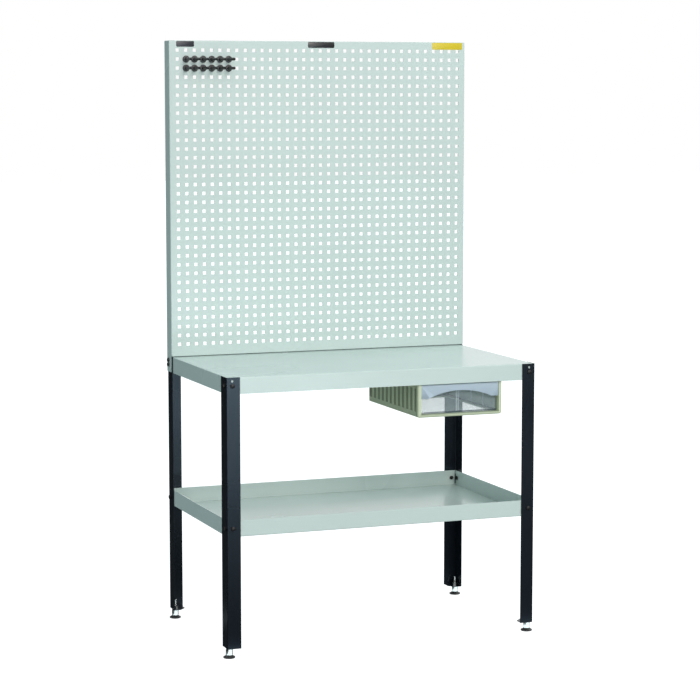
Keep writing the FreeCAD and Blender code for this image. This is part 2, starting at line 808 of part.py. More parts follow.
# Clear drawer: a box with divider slots and a hood to pull it by

drawerSide = "(caseWidth / 2 - frameSideLip - drawerClearance)"
drawerFront = "(%s + drawerRecess)" % caseFront
drawerBottom = "(%s + drawerSeatGap)" % openingBottom
drawerTop = "(%s - drawerClearance)" % openingTop


def clearDrawer():
    body = newBody("clear_drawer")
    rear = "(%s + drawerLength)" % drawerFront
    height = "%s - %s" % (drawerTop, drawerBottom)
    block = rectangle(*aboutCase(drawerSide), drawerFront, rear)
    pad(body, outline(body, "XY_Plane", drawerBottom, block), height)
    floor = worth(drawerBottom)
    fillet(body, "drawerRadius",
           lambda edge: near(edge, 2, floor) and edge.CenterOfMass.y > worth(drawerFront))
    low = "(%s - hoodHeight)" % drawerTop
    reach = "(%s - hoodReach)" % drawerFront
    hood = [(drawerFront + " + drawerWall", drawerTop),
            (reach + " + hoodSlope + hoodWall", drawerTop),
            (reach + " + hoodSlope", drawerTop + " - hoodWall"),
            (reach, low), (drawerFront + " + drawerWall", low)]
    pad(body, outline(body, "YZ_Plane", caseMiddle, hood), "2 * " + drawerSide, bothWays=True)
    inside = rectangle(*aboutCase(drawerSide + " - hoodWall"), reach + " + hoodSlope + hoodWall",
                       drawerFront)
    grip = outline(body, "XY_Plane", low, inside)
    pocket(body, grip, "hoodHeight - 2 * hoodWall", backwards=True)
    chord = "(%s - hoodEndWidth)" % drawerSide
    radius = "((%s ^ 2 + hoodArch ^ 2) / (2 * hoodArch))" % chord
    arch = circles(body, "XZ_Plane", "-(%s - hoodWall)" % reach, "2 * " + radius,
                   [(caseMiddle, "%s + hoodArch - %s" % (low, radius))])
    pocket(body, arch, "hoodReach + hoodWall")
    inner = "(%s - drawerWall)" % drawerSide
    innerFront = "(%s + drawerWall)" % drawerFront
    innerRear = "(%s - drawerWall)" % rear
    cavity = rectangle(*aboutCase(inner), innerFront, innerRear)
    pocket(body, outline(body, "XY_Plane", drawerTop, cavity), height + " - drawerFloor")
    ribs = []
    for middle in aboutCase("slotGap / 2 + slotRibWidth / 2"):
        width = (middle + " - slotRibWidth / 2", middle + " + slotRibWidth / 2")
        ribs.append(rectangle(*width, innerFront, innerFront + " + slotRibDepth"))
        ribs.append(rectangle(*width, innerRear + " - slotRibDepth", innerRear))
    left, right = aboutCase(inner)
    slots = int(worth("(drawerLength - slotPitch / 2) / slotPitch"))
    for step in range(1, slots + 1):
        for sign in ("-", "+"):
            edge = "%s + %d * slotPitch %s slotGap / 2" % (innerFront, step, sign)
            span = sorted((edge, "%s %s slotRibWidth" % (edge, sign)), key=worth)
            ribs.append(rectangle(left, left + " + slotRibDepth", *span))
            ribs.append(rectangle(right + " - slotRibDepth", right, *span))
    sketch = outline(body, "XY_Plane", drawerBottom + " + drawerFloor", *ribs)
    pad(body, sketch, height + " - drawerFloor - 2 * drawerWall")
    return body


clearDrawer()


# Check every object and every shape, and only then write the files

doc.recompute()
for item in doc.Objects:
    if "Invalid" in item.State or "Error" in item.State:
        raise RuntimeError("%s failed: %s" % (item.Name, item.State))
for part in subParts:
    if part.Shape.isNull() or not part.Shape.isValid() or not part.Shape.Solids:
        raise RuntimeError("%s has no valid shape" % part.Label)

os.makedirs("parts", exist_ok=True)
for part in subParts:
    part.Shape.exportStep("parts/%s.step" % part.Label)
print("%d nodes, %d solids" % (len(subParts), sum(len(part.Shape.Solids) for part in subParts)))
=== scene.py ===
import math

import bmesh
import bpy
from mathutils import Matrix, Vector


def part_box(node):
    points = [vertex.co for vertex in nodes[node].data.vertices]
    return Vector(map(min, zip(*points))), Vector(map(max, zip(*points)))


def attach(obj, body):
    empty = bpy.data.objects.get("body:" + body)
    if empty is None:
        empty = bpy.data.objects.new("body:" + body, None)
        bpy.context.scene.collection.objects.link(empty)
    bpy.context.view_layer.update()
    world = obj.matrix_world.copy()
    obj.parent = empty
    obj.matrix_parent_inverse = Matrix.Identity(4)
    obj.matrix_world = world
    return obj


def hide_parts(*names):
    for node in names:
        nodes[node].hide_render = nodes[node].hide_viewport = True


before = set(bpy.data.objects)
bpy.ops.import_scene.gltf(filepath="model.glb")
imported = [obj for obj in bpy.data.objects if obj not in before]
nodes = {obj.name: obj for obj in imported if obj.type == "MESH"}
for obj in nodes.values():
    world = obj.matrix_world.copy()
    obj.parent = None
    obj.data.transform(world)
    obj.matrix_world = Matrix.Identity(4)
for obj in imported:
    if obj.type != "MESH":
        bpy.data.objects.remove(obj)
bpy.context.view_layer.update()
mm = 0.001
weldGap = 0.001 * mm
near = 0.01 * mm    # two places closer than this count as one
cornerNames = ("front_left", "front_right", "rear_left", "rear_right")


# small helpers for meshes and pieces

def finishPiece(name, bm, materials, body, slot, *replaced):
    # a finished mesh becomes a named piece that rides on its body
    sharpAngle = math.radians(35)
    mesh = bpy.data.meshes.new(name)
    bmesh.ops.recalc_face_normals(bm, faces=bm.faces[:])
    for face in bm.faces:
        face.smooth = True
    bm.to_mesh(mesh)
    bm.free()
    mesh.set_sharp_from_angle(angle=sharpAngle)
    for material in materials:
        mesh.materials.append(material)
    piece = bpy.data.objects.new(name, mesh)
    bpy.context.scene.collection.objects.link(piece)
    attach(piece, body)
    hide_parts(*replaced)


def weld(bm, gap=weldGap):
    bmesh.ops.remove_doubles(bm, verts=bm.verts[:], dist=gap)


def weldedCopy(node):
    # a CAD node's mesh is loose triangles, so its copy is welded first
    bm = bmesh.new()
    bm.from_mesh(nodes[node].data)
    weld(bm)
    return bm


def mergedCopy(node):
    # a welded copy whose flat faces are whole again
    bm = weldedCopy(node)
    bmesh.ops.dissolve_limit(bm, angle_limit=math.radians(0.5), verts=bm.verts[:], edges=bm.edges[:],
                             use_dissolve_boundaries=False, delimit=set())
    return bm


def solidBoxes(node):
    # lowest and highest corner of each separate solid in a CAD node
    bm = weldedCopy(node)
    found = []
    seen = set()
    for start in bm.verts:
        if start in seen:
            continue
        seen.add(start)
        waiting = [start]
        points = []
        while waiting:
            vert = waiting.pop()
            points.append(vert.co.copy())
            for edge in vert.link_edges:
                other = edge.other_vert(vert)
                if other not in seen:
                    seen.add(other)
                    waiting.append(other)
        low = Vector([min(p[axis] for p in points) for axis in range(3)])
        high = Vector([max(p[axis] for p in points) for axis in range(3)])
        found.append((low, high))
    bm.free()
    return sorted(found, key=lambda pair: tuple(round(value, 5) for value in pair[0]))


def standAlong(direction):
    # turns a shape made along +Z so that it points along a direction
    return Vector((0, 0, 1)).rotation_difference(direction).to_matrix().to_4x4()


def addShape(bm, shape, place=Matrix.Identity(4)):
    # puts a finished shape at its place in another mesh
    mesh = bpy.data.meshes.new("copy")
    shape.to_mesh(mesh)
    shape.free()
    mesh.transform(place)
    bm.from_mesh(mesh)
    bpy.data.meshes.remove(mesh)


def turned(bm, profile, steps):
    # a profile of (radius, height) pairs is spun about Z
    verts = [bm.verts.new((radius, 0, height)) for radius, height in profile]
    edges = [bm.edges.new(pair) for pair in zip(verts, verts[1:])]
    bmesh.ops.spin(bm, geom=verts + edges, cent=(0, 0, 0), axis=(0, 0, 1), angle=2 * math.pi,
                   steps=steps, use_merge=True)
    weld(bm)


def roundEdges(bm, edges, width, segments):
    bmesh.ops.bevel(bm, geom=edges, offset=width, offset_type="OFFSET", segments=segments,
                    profile=0.5, affect="EDGES", clamp_overlap=True, material=-1)


def cutAt(bm, point, normal, gap, clearOuter=False):
    bmesh.ops.bisect_plane(bm, geom=bm.verts[:] + bm.edges[:] + bm.faces[:], dist=gap,
                           plane_co=point, plane_no=normal, clear_outer=clearOuter)


def block(bm, low, high):
    made = bmesh.ops.create_cube(bm, size=1)["verts"]
    low, high = Vector(low), Vector(high)
    bmesh.ops.scale(bm, vec=high - low, verts=made)
    bmesh.ops.translate(bm, vec=(low + high) / 2, verts=made)


def moveTo(bm, low, high):
    # moves a shape made on the Z axis over the middle of a CAD box
    middle = (low + high) / 2
    bmesh.ops.translate(bm, vec=(middle.x, middle.y, 0), verts=bm.verts[:])


# node helpers; every scale is in cells to the metre

def newMaterial(name):
    material = bpy.data.materials.new(name)
    material.use_nodes = True
    tree = material.node_tree
    place = tree.nodes.new("ShaderNodeTexCoord")
    return material, tree, tree.nodes["Principled BSDF"], place.outputs["Object"]


def grain(tree, place, scale, detail):
    noise = tree.nodes.new("ShaderNodeTexNoise")
    noise.inputs["Scale"].default_value = scale
    noise.inputs["Detail"].default_value = detail
    tree.links.new(place, noise.inputs["Vector"])
    return noise.outputs["Fac"]


def spread(tree, value, low, high, fromLow=0.3, fromHigh=0.7):
    # maps a value onto a range; a noise lies mostly between 0.3 and 0.7
    ranged = tree.nodes.new("ShaderNodeMapRange")
    ranged.inputs["From Min"].default_value = fromLow
    ranged.inputs["From Max"].default_value = fromHigh
    ranged.inputs["To Min"].default_value = low
    ranged.inputs["To Max"].default_value = high
    tree.links.new(value, ranged.inputs["Value"])
    return ranged.outputs["Result"]


def mottle(tree, shader, place, scale, first, second):
    # the base colour wanders between two colours
    mix = tree.nodes.new("ShaderNodeMix")
    mix.data_type = "RGBA"
    tree.links.new(spread(tree, grain(tree, place, scale, 3.0), 0, 1), mix.inputs["Factor"])
    mix.inputs[6].default_value = (*first, 1)    # sockets 6 and 7 are its two colours
    mix.inputs[7].default_value = (*second, 1)
    tree.links.new(mix.outputs[2], shader.inputs["Base Color"])


def unevenGloss(tree, shader, place, scale, detail, roughness):
    gloss = spread(tree, grain(tree, place, scale, detail), *roughness)
    tree.links.new(gloss, shader.inputs["Roughness"])


def reliefOf(tree, shader, height, depth, under=None):
    # bumps the surface by a height value times a depth in metres
    bump = tree.nodes.new("ShaderNodeBump")
    bump.inputs["Distance"].default_value = depth
    tree.links.new(height, bump.inputs["Height"])
    if under is not None:
        tree.links.new(under, bump.inputs["Normal"])
    tree.links.new(bump.outputs["Normal"], shader.inputs["Normal"])
    return bump.outputs["Normal"]


def shade(colour, factor):
    return tuple(value * factor for value in colour)


# powder coat: an even film with orange peel and a faint unevenness of gloss

paintSettings = {"cloudScale": 3.0, "shades": (0.975, 1.02), "glossScale": 4.0, "grainScale": 2600.0}
palePaintSettings = {"colour": (0.60, 0.685, 0.655), "glossTint": (1, 1, 1), "roughness": (0.22, 0.28),
                     "peelScale": 380.0, "peelDepth": 0.000005, "grainDepth": 0.000001}
darkPaintSettings = {"colour": (0.0045, 0.0065, 0.010), "glossTint": (0.70, 0.84, 1.0),
                     "roughness": (0.24, 0.30),
                     "peelScale": 420.0, "peelDepth": 0.000008, "grainDepth": 0.000002}


def powderPaint(name, settings):
    material, tree, shader, place = newMaterial(name)
    deeper, paler = (shade(settings["colour"], factor) for factor in paintSettings["shades"])
    mottle(tree, shader, place, paintSettings["cloudScale"], deeper, paler)
    shader.inputs["Specular Tint"].default_value = (*settings["glossTint"], 1)
    unevenGloss(tree, shader, place, paintSettings["glossScale"], 0.0, settings["roughness"])
    peel = reliefOf(tree, shader, grain(tree, place, settings["peelScale"], 1.0), settings["peelDepth"])
    fine = grain(tree, place, paintSettings["grainScale"], 0.0)
    reliefOf(tree, shader, fine, settings["grainDepth"], peel)
    return material


palePaint = powderPaint("palePowderPaint", palePaintSettings)
darkPaint = powderPaint("darkPowderPaint", darkPaintSettings)


# plated or oxidised steel with a patchy film and fine marks

steelSettings = {"filmScale": 160.0, "markScale": 420.0, "grainScale": 2400.0}
zincSettings = {"colour": (0.76, 0.78, 0.77), "filmColour": (0.84, 0.84, 0.81),
                "roughness": (0.12, 0.22), "metallic": 1.0, "depth": 0.000003}
blackSettings = {"colour": (0.012, 0.012, 0.013), "filmColour": (0.022, 0.021, 0.021),
                 "roughness": (0.3, 0.45), "metallic": 0.4, "depth": 0.000008}


def metalFinish(name, settings):
    material, tree, shader, place = newMaterial(name)
    shader.inputs["Metallic"].default_value = settings["metallic"]
    mottle(tree, shader, place, steelSettings["filmScale"], settings["colour"], settings["filmColour"])
    unevenGloss(tree, shader, place, steelSettings["markScale"], 3.0, settings["roughness"])
    reliefOf(tree, shader, grain(tree, place, steelSettings["grainScale"], 1.0), settings["depth"])
    return material


zincSteel = metalFinish("zincSteel", zincSettings)
blackSteel = metalFinish("blackSteel", blackSettings)


# moulded plastic: even colour and a fine spark-eroded grain

plasticSettings = {"cloudScale": 9.0, "shades": (0.97, 1.03), "glossScale": 60.0}


def mouldedPlastic(name, colour, roughness, grainScale, grainDepth):
    material, tree, shader, place = newMaterial(name)
    deeper, paler = (shade(colour, factor) for factor in plasticSettings["shades"])
    mottle(tree, shader, place, plasticSettings["cloudScale"], deeper, paler)
    unevenGloss(tree, shader, place, plasticSettings["glossScale"], 3.0, roughness)
    reliefOf(tree, shader, grain(tree, place, grainScale, 2.0), grainDepth)
    return material


padRubber = mouldedPlastic("padRubber", (0.014, 0.014, 0.015), (0.5, 0.62), 1800.0, 0.00002)
hookPlastic = mouldedPlastic("hookPlastic", (0.013, 0.013, 0.014), (0.36, 0.46), 2600.0, 0.000008)
casePlastic = mouldedPlastic("casePlastic", (0.60, 0.65, 0.46), (0.36, 0.46), 1500.0, 0.000015)
# a darker copy of the case plastic: painted shade for the grooves between the case's ribs
grooveShadePlastic = mouldedPlastic("grooveShadePlastic", (0.30, 0.335, 0.215), (0.36, 0.46), 1500.0, 0.000015)
greyPlate = mouldedPlastic("greyPlate", (0.016, 0.018, 0.026), (0.34, 0.44), 900.0, 0.000004)
blackPlate = mouldedPlastic("blackPlate", (0.016, 0.016, 0.017), (0.3, 0.4), 900.0, 0.000004)
yellowPlate = mouldedPlastic("yellowPlate", (0.72, 0.55, 0.02), (0.34, 0.44), 900.0, 0.000004)


# clear polystyrene: a thin blue haze that closes up where a wall is seen edge on

styreneSettings = {"ior": 1.59, "edgeBlend": 0.35, "glossScale": 30.0}


def clearPlastic(name, colour, haze, roughness, waveScale, waveDepth):
    material, tree, shader, place = newMaterial(name)
    shader.inputs["IOR"].default_value = styreneSettings["ior"]
    shader.inputs["Base Color"].default_value = (*colour, 1)
    facing = tree.nodes.new("ShaderNodeLayerWeight")
    facing.inputs["Blend"].default_value = styreneSettings["edgeBlend"]
    tree.links.new(spread(tree, facing.outputs["Facing"], *haze, 0.0, 1.0), shader.inputs["Alpha"])
    unevenGloss(tree, shader, place, styreneSettings["glossScale"], 3.0, roughness)
    reliefOf(tree, shader, grain(tree, place, waveScale, 2.0), waveDepth)
    return material


clearStyrene = clearPlastic("clearStyrene", (0.78, 0.89, 0.98), (0.10, 0.40), (0.03, 0.07), 18.0, 0.0003)
# a whiter, more opaque copy of the clear plastic: painted highlight on the divider ribs
ribHighlightStyrene = clearPlastic("ribHighlightStyrene", (0.85, 0.91, 0.95), (0.65, 0.9), (0.1, 0.16), 60.0, 0.00005)
frostedStyrene = clearPlastic("frostedStyrene", (0.62, 0.73, 0.84), (0.66, 0.95), (0.36, 0.46),
                              1400.0, 0.00001)
# a dark copy of the clear plastic: painted shade for the band along the drawer's floor
paintedShadeStyrene = clearPlastic("paintedShadeStyrene", (0.10, 0.13, 0.16), (0.6, 0.95), (0.08, 0.14), 60.0, 0.00005)


# finishes of the CAD nodes that stay

paleNodes = ("pegboard_panel", "tabletop", "shelf_tray", "tabletop_channel_front", "tabletop_channel_rear",
             "shelf_channel", "case_hanger_front", "case_hanger_rear")
cadFinishes = {node: palePaint for node in paleNodes}
cadFinishes["case_screws"] = zincSteel
for corner in cornerNames:
    cadFinishes["leg_" + corner] = darkPaint
    cadFinishes["foot_gusset_" + corner] = darkPaint
for node, finish in cadFinishes.items():
    nodes[node].data.materials.clear()
    nodes[node].data.materials.append(finish)
print("materials on", len(cadFinishes), "carried-over nodes")


# hexagon heads and nuts, with their corners turned off at 30 degrees

hexagonSettings = {"flatShare": 0.475, "slope": math.tan(math.radians(30)), "cuts": 5}


def hexagonBlank(bm, across, low, high, chamferLow=True):
    flat = hexagonSettings["flatShare"] * across
    made = bmesh.ops.create_circle(bm, cap_ends=True, segments=6, radius=across / math.sqrt(3))["verts"]
    bmesh.ops.rotate(bm, cent=(0, 0, 0), matrix=Matrix.Rotation(math.radians(30), 3, "Z"), verts=made)
    bmesh.ops.translate(bm, vec=(0, 0, low), verts=made)
    face = made[0].link_faces[0]
    bmesh.ops.subdivide_edges(bm, edges=face.edges[:], cuts=hexagonSettings["cuts"])

    def extruded(cap):
        grown = bmesh.ops.extrude_face_region(bm, geom=[cap])["geom"]
        return [item for item in grown if isinstance(item, bmesh.types.BMFace)][0]

    def chamfer(cap, level, way):
        for vert in cap.verts:
            vert.co.z = level - way * (vert.co.xy.length - flat) * hexagonSettings["slope"]
        inner = extruded(cap)
        bmesh.ops.delete(bm, geom=[cap], context="FACES_ONLY")
        for vert in inner.verts:
            vert.co.xy = vert.co.xy.normalized() * flat
            vert.co.z = level

    top = extruded(face)
    bmesh.ops.translate(bm, vec=(0, 0, high - low), verts=top.verts[:])
    chamfer(top, high, 1)
    if chamferLow:
        chamfer(face, low, -1)


# threads; a flank point is a share of the lead and 1 at the root or 0 at the crest

threadSettings = {"flank": ((0.0, 1), (0.35, 0), (0.55, 0), (0.9, 1), (1.0, 1)), "steps": 20,
                  "weldGap": 0.003 * mm, "cutGap": 0.0001 * mm}


def threadedRod(bm, radius, lead, low, high, depth):
    # a helical thread, spun one step at a time and trimmed flat at both ends
    s = threadSettings
    turns = math.ceil((high - low) / lead) + 2
    start = low - 1.5 * lead    # below the end, which is trimmed
    part = bmesh.new()
    verts = [part.verts.new((radius - dip * depth, 0, start + share * lead)) for share, dip in s["flank"]]
    edges = [part.edges.new(pair) for pair in zip(verts, verts[1:])]
    bmesh.ops.spin(part, geom=verts + edges, cent=(0, 0, 0), axis=(0, 0, 1), angle=2 * math.pi * turns,
                   dvec=(0, 0, lead / s["steps"]), steps=s["steps"] * turns, use_merge=False)
    weld(part, s["weldGap"])
    for level, way in ((low, -1), (high, 1)):
        cutAt(part, (0, 0, level), (0, 0, way), s["cutGap"], clearOuter=True)
        rim = [edge for edge in part.edges if edge.is_boundary
               and all(abs(vert.co.z - level) < weldGap for vert in edge.verts)]
        bmesh.ops.contextual_create(part, geom=rim)
    addShape(bm, part)


boltSettings = {"across": 10 * mm, "head": 4 * mm, "washerRadius": 6 * mm, "washer": 1 * mm,
                "washerEdge": 0.15 * mm, "headGap": 0.01 * mm, "shankRadius": 3 * mm, "shankGap": 0.02 * mm,
                "lead": 1 * mm, "threadDepth": 0.5 * mm, "threaded": 8 * mm, "point": 0.6 * mm,
                "pointGap": 0.1 * mm}


def boltMaster(length):
    # washer on z = 0, head above it, shank below
    s = boltSettings
    bm = bmesh.new()
    edge = s["washerEdge"]
    turned(bm, [(0, s["washer"]), (s["washerRadius"] - edge, s["washer"]),
                (s["washerRadius"], s["washer"] - edge), (s["washerRadius"], edge),
                (s["washerRadius"] - edge, 0), (0, 0)], 40)
    hexagonBlank(bm, s["across"], s["washer"] + s["headGap"], s["washer"] + s["head"], chamferLow=False)
    threadLow = s["point"] - length
    threadTop = s["threaded"] - length
    shank = s["shankRadius"] - s["shankGap"]
    turned(bm, [(shank, 0), (shank, threadTop)], 32)
    threadedRod(bm, s["shankRadius"], s["lead"], threadLow, threadTop, s["threadDepth"])
    tip = s["shankRadius"] - s["threadDepth"]
    turned(bm, [(s["shankRadius"] - s["pointGap"], threadLow), (tip, -length), (0, -length)], 32)
    return bm


def outwardOf(low, high):
    # the way that a bolt points: out of the bench, along the axis that it is round about
    size = high - low
    middle = (low + high) / 2
    if abs(size.y - size.z) < 0.5 * mm:    # as high as it is deep, so it lies along X
        return Vector((math.copysign(1, middle.x), 0, 0))
    return Vector((0, math.copysign(1, middle.y), 0))


def boltGroup(node):
    bm = bmesh.new()
    headTop = boltSettings["washer"] + boltSettings["head"]
    for low, high in solidBoxes(node):
        way = outwardOf(low, high)
        reach = abs((high - low).dot(way)) / 2
        seat = (low + high) / 2 + way * (reach - headTop)
        addShape(bm, boltMaster(2 * reach - headTop), Matrix.Translation(seat) @ standAlong(way))
    finishPiece(node + "_detail", bm, (blackSteel,), "bench", "black_steel", node)


boltNutSettings = {"across": 10 * mm, "radius": 3 * mm, "turn": 0}
lockNutSettings = {"across": 13 * mm, "radius": 4 * mm, "turn": 30}
nutBoreGap = 0.1 * mm


def nutGroup(node, settings, material, slot):
    across, radius = settings["across"], settings["radius"]
    bm = bmesh.new()
    for low, high in solidBoxes(node):
        size = high - low
        axis = min(range(3), key=lambda k: size[k])    # a nut is lowest along its bore
        way = Vector([float(k == axis) for k in range(3)])
        nut = bmesh.new()
        hexagonBlank(nut, across, -size[axis] / 2, size[axis] / 2)
        caps = [face for face in nut.faces if len(face.verts) > 4]
        wall = hexagonSettings["flatShare"] * across - radius
        for cap in caps:
            bmesh.ops.inset_region(nut, faces=[cap], thickness=wall, depth=0)
            for vert in cap.verts:
                vert.co.xy = vert.co.xy.normalized() * (radius + nutBoreGap)
        bmesh.ops.bridge_loops(nut, edges=caps[0].edges[:] + caps[1].edges[:])
        bmesh.ops.delete(nut, geom=caps, context="FACES_ONLY")
        spun = Matrix.Rotation(math.radians(settings["turn"]), 4, "Z")
        addShape(bm, nut, Matrix.Translation((low + high) / 2) @ standAlong(way) @ spun)
    finishPiece(node + "_detail", bm, (material,), "bench", slot, node)


for group in ("table", "shelf", "panel"):
    boltGroup(group + "_bolts")
    nutGroup(group + "_nuts", boltNutSettings, blackSteel, "black_steel")
nutGroup("foot_lock_nuts", lockNutSettings, zincSteel, "zinc_steel")
print("bolts and nuts made")


# levelling feet: a screwed spindle with a hexagon and a collar, and its pad

spindleSettings = {"across": 17 * mm, "rodRadius": 4 * mm, "lead": 1.25 * mm, "threadDepth": 0.65 * mm,
                   "hexLow": 8.3 * mm, "collar": 2 * mm, "collarGap": 0.3 * mm, "collarRadius": 7 * mm,
                   "collarEdge": 0.3 * mm, "threadSink": 0.2 * mm, "point": 0.7 * mm, "pointGap": 0.1 * mm,
                   "footEdge": 0.4 * mm, "hexSink": 0.1 * mm}


def footSpindle(corner):
    s = spindleSettings
    low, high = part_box("foot_spindle_" + corner)
    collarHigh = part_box("foot_gusset_" + corner)[0].z - s["collarGap"]
    collarLow = collarHigh - s["collar"]
    bm = bmesh.new()
    hexagonBlank(bm, s["across"], s["hexLow"], collarLow)
    turned(bm, [(0, collarLow), (s["collarRadius"], collarLow),
                (s["collarRadius"], collarHigh - s["collarEdge"]),
                (s["collarRadius"] - s["collarEdge"], collarHigh), (0, collarHigh)], 48)
    threadHigh = high.z - s["point"]
    threadedRod(bm, s["rodRadius"], s["lead"], collarHigh - s["threadSink"], threadHigh, s["threadDepth"])
    tip = s["rodRadius"] - s["threadDepth"]
    turned(bm, [(s["rodRadius"] - s["pointGap"], threadHigh), (tip, high.z), (0, high.z)], 32)
    turned(bm, [(0, low.z), (s["rodRadius"] - s["footEdge"], low.z),
                (s["rodRadius"], low.z + s["footEdge"]), (s["rodRadius"], s["hexLow"] + s["hexSink"])], 32)
    moveTo(bm, low, high)
    finishPiece("spindle_detail_" + corner, bm, (zincSteel,), "spindle_" + corner, "zinc_steel",
                "foot_spindle_" + corner)


padSettings = {"radius": 16 * mm, "rim": 4 * mm, "top": 8 * mm, "hubRadius": 9 * mm,
               "shoulderRadius": 13 * mm, "shoulderRise": 1 * mm, "hollow": 0.4 * mm,
               "hollowRim": 3 * mm, "soleRim": 2.4 * mm, "soleEdge": 0.8 * mm, "rimEdge": 0.6 * mm,
               "hubFlare": 0.6 * mm, "hubFlareDrop": 0.9 * mm, "boreGap": 0.05 * mm, "boreFloor": 1.9 * mm}


def footPad(corner):
    s = padSettings
    low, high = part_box("foot_pad_" + corner)
    radius, rim, top = s["radius"], s["rim"], s["top"]
    bore = spindleSettings["rodRadius"] + s["boreGap"]
    sole = [(0, s["hollow"]), (radius - s["hollowRim"], s["hollow"]), (radius - s["soleRim"], 0),
            (radius - s["soleEdge"], 0), (radius, s["soleEdge"])]
    side = [(radius, rim - s["rimEdge"]), (radius - s["rimEdge"], rim),
            (s["shoulderRadius"], rim + s["shoulderRise"]),
            (s["hubRadius"] + s["hubFlare"], top - s["hubFlareDrop"]), (s["hubRadius"], top)]
    socket = [(bore, top), (bore, s["boreFloor"]), (0, s["boreFloor"])]
    bm = bmesh.new()
    turned(bm, sole + side + socket, 64)
    moveTo(bm, low, high)
    finishPiece("pad_detail_" + corner, bm, (padRubber,), "pad_" + corner, "black_pad_plastic",
                "foot_pad_" + corner)


for corner in cornerNames:
    footSpindle(corner)
    footPad(corner)
print("feet made")


# hooks on the panel: disc, straight peg and square plug

hookSettings = {"count": 12, "discRadius": 9.75 * mm, "disc": 4 * mm, "discEdge": 0.4 * mm,
                "discRound": 1.2 * mm, "pegRadius": 4.25 * mm, "root": 1.2 * mm, "tipShare": 0.92,
                "plugHalf": 4.35 * mm, "barb": 0.6 * mm, "barbInset": 0.8 * mm,
                "barbLow": 0.1 * mm, "barbHigh": 2.4 * mm}


def pegHook(node):
    s = hookSettings
    low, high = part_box(node)
    centre = Vector(((low.x + high.x) / 2, 0, (low.z + high.z) / 2))
    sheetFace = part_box("pegboard_panel")[0].y
    length = sheetFace - low.y
    plugEnd = -(high.y - sheetFace)
    quarter = [(math.cos(math.radians(a)), math.sin(math.radians(a))) for a in range(0, 91, 15)]
    bend, root, tip = s["discRound"], s["root"], s["pegRadius"] * s["tipShare"]
    profile = [(0, 0), (s["discRadius"] - s["discEdge"], 0), (s["discRadius"], s["discEdge"])]
    profile += [(s["discRadius"] - bend + bend * out, s["disc"] - bend + bend * up) for out, up in quarter]
    profile += [(s["pegRadius"] + root - root * up, s["disc"] + root - root * out) for out, up in quarter]
    profile += [(tip * out, length - tip + tip * up) for out, up in quarter]
    bm = bmesh.new()
    turned(bm, profile, 40)
    half, inset = s["plugHalf"], s["plugHalf"] - s["barbInset"]
    block(bm, (-half, -half, plugEnd), (half, half, 0))
    block(bm, (-half - s["barb"], -inset, plugEnd + s["barbLow"]),
          (half + s["barb"], inset, plugEnd + s["barbHigh"]))
    place = Matrix.Translation((centre.x, sheetFace, centre.z)) @ standAlong(Vector((0, -1, 0)))
    bmesh.ops.transform(bm, matrix=place, verts=bm.verts[:])
    finishPiece(node + "_detail", bm, (hookPlastic,), "bench", "black_hook_plastic", node)


for number in range(1, hookSettings["count"] + 1):
    pegHook("peg_hook_%02d" % number)
print("hooks made")


# drawer case: slanted ribs with rounded rims, and the thin walls between them in a darker copy of the case
# plastic, which is painted shade

caseSettings = {"frame": 15 * mm, "ribProud": 1.5 * mm, "ribTopMargin": 22 * mm, "ribLowMargin": 15 * mm,
                "ribSlant": 4 * mm, "ribRound": 0.8 * mm}


def drawerCase():
    s = caseSettings
    low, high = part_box("drawer_case")
    bm = mergedCopy("drawer_case")
    ribLow, ribTop = low.z + s["ribLowMargin"], high.z - s["ribTopMargin"]
    for level in (ribLow, ribTop):
        cutAt(bm, (0, 0, level), (0, 0, 1), near)
    for face in bm.faces:
        middle = face.calc_center_median()
        inset = min(middle.x - low.x, high.x - middle.x)
        sideways = abs(face.normal.x) > 0.99
        if sideways and abs(inset - s["ribProud"]) < near and ribLow < middle.z < ribTop:
            face.material_index = 1    # painted shade: the thin wall between two ribs gets the darker copy of the case plastic
    crests = [face for face in bm.faces
              if all(min(abs(vert.co.x - low.x), abs(vert.co.x - high.x)) < near
                     and vert.co.y > low.y + s["frame"] + near for vert in face.verts)]
    for crest in crests:
        middle = crest.calc_center_median()
        for vert in crest.verts:
            vert.co.y -= math.copysign(s["ribSlant"], vert.co.y - middle.y)
            vert.co.z -= math.copysign(s["ribSlant"] / 2, vert.co.z - middle.z)
    rims = [edge for edge in bm.edges if any(face in crests for face in edge.link_faces)]
    roundEdges(bm, rims, s["ribRound"], 3)
    finishPiece("drawer_case_detail", bm, (casePlastic, grooveShadePlastic), "bench", "case_plastic",
                "drawer_case")


# clear drawer: a frosted hood, a band of painted shade along the floor in a dark copy of the clear plastic,
# and divider ribs in a whiter, more opaque copy of it as a painted highlight

drawerSettings = {"recess": 19 * mm, "shadeBand": 5 * mm, "wall": 2 * mm, "ribDepth": 1.6 * mm,
                  "gap": 0.05 * mm}


def isSlotRib(point, front, low, high):
    # true inside the walls, close to them: there only the divider ribs have faces
    s = drawerSettings
    inset = min(point.x - low.x, high.x - point.x, point.y - front, high.y - point.y)
    return s["wall"] + s["gap"] < inset < s["wall"] + s["ribDepth"]


